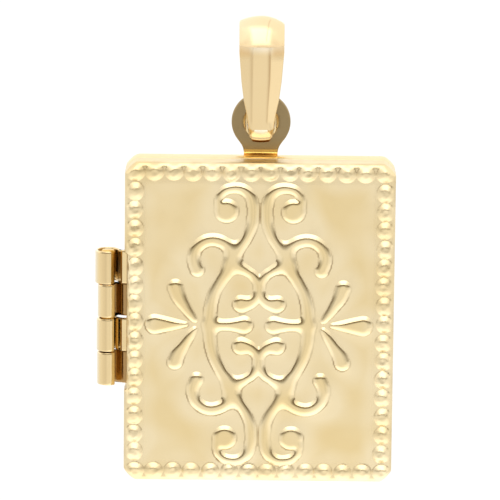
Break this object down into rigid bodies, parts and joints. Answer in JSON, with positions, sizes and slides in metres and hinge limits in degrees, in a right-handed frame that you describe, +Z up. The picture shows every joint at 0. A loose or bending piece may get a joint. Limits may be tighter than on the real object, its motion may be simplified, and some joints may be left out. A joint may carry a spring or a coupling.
{
  "type": "photo locket",
  "caption": "Small rectangular photo locket: two hinged trays, beaded and scroll-embossed face, round lug and folded strap bail for a chain.",
  "frame": {"origin": "where the chain bears, on the inside of the bail's top bend", "axes": "+Z up, the embossed face looks along -Y, +X to the right seen from the face, hinge on the -X side"},
  "size_m": [0.02, 0.0053, 0.0313],
  "materials": {
    "pressed_gold": "polished pale yellow gold, pressed sheet",
    "back_gold": "polished pale yellow gold",
    "bail_gold": "high polish pale yellow gold",
    "pin_gold": "drawn gold wire"
  },
  "bodies": {
    "bail": {"bail": "bail_gold"},
    "rear": {"back_cover": "back_gold", "hinge_pin": "pin_gold"},
    "front": {"front_cover": "pressed_gold"}
  },
  "joints": [
    {"name": "pendant_swing", "type": "hinge", "parent": "bail", "child": "rear", "pos_m": [0, 0, -0.00777], "axis": [1, 0, 0], "range_deg": [-12, 12]},
    {"name": "cover_hinge", "type": "hinge", "parent": "rear", "child": "front", "pos_m": [-0.01015, -0.00148, -0.02005], "axis": [0, 0, -1], "range_deg": [0, 180]}
  ]
}
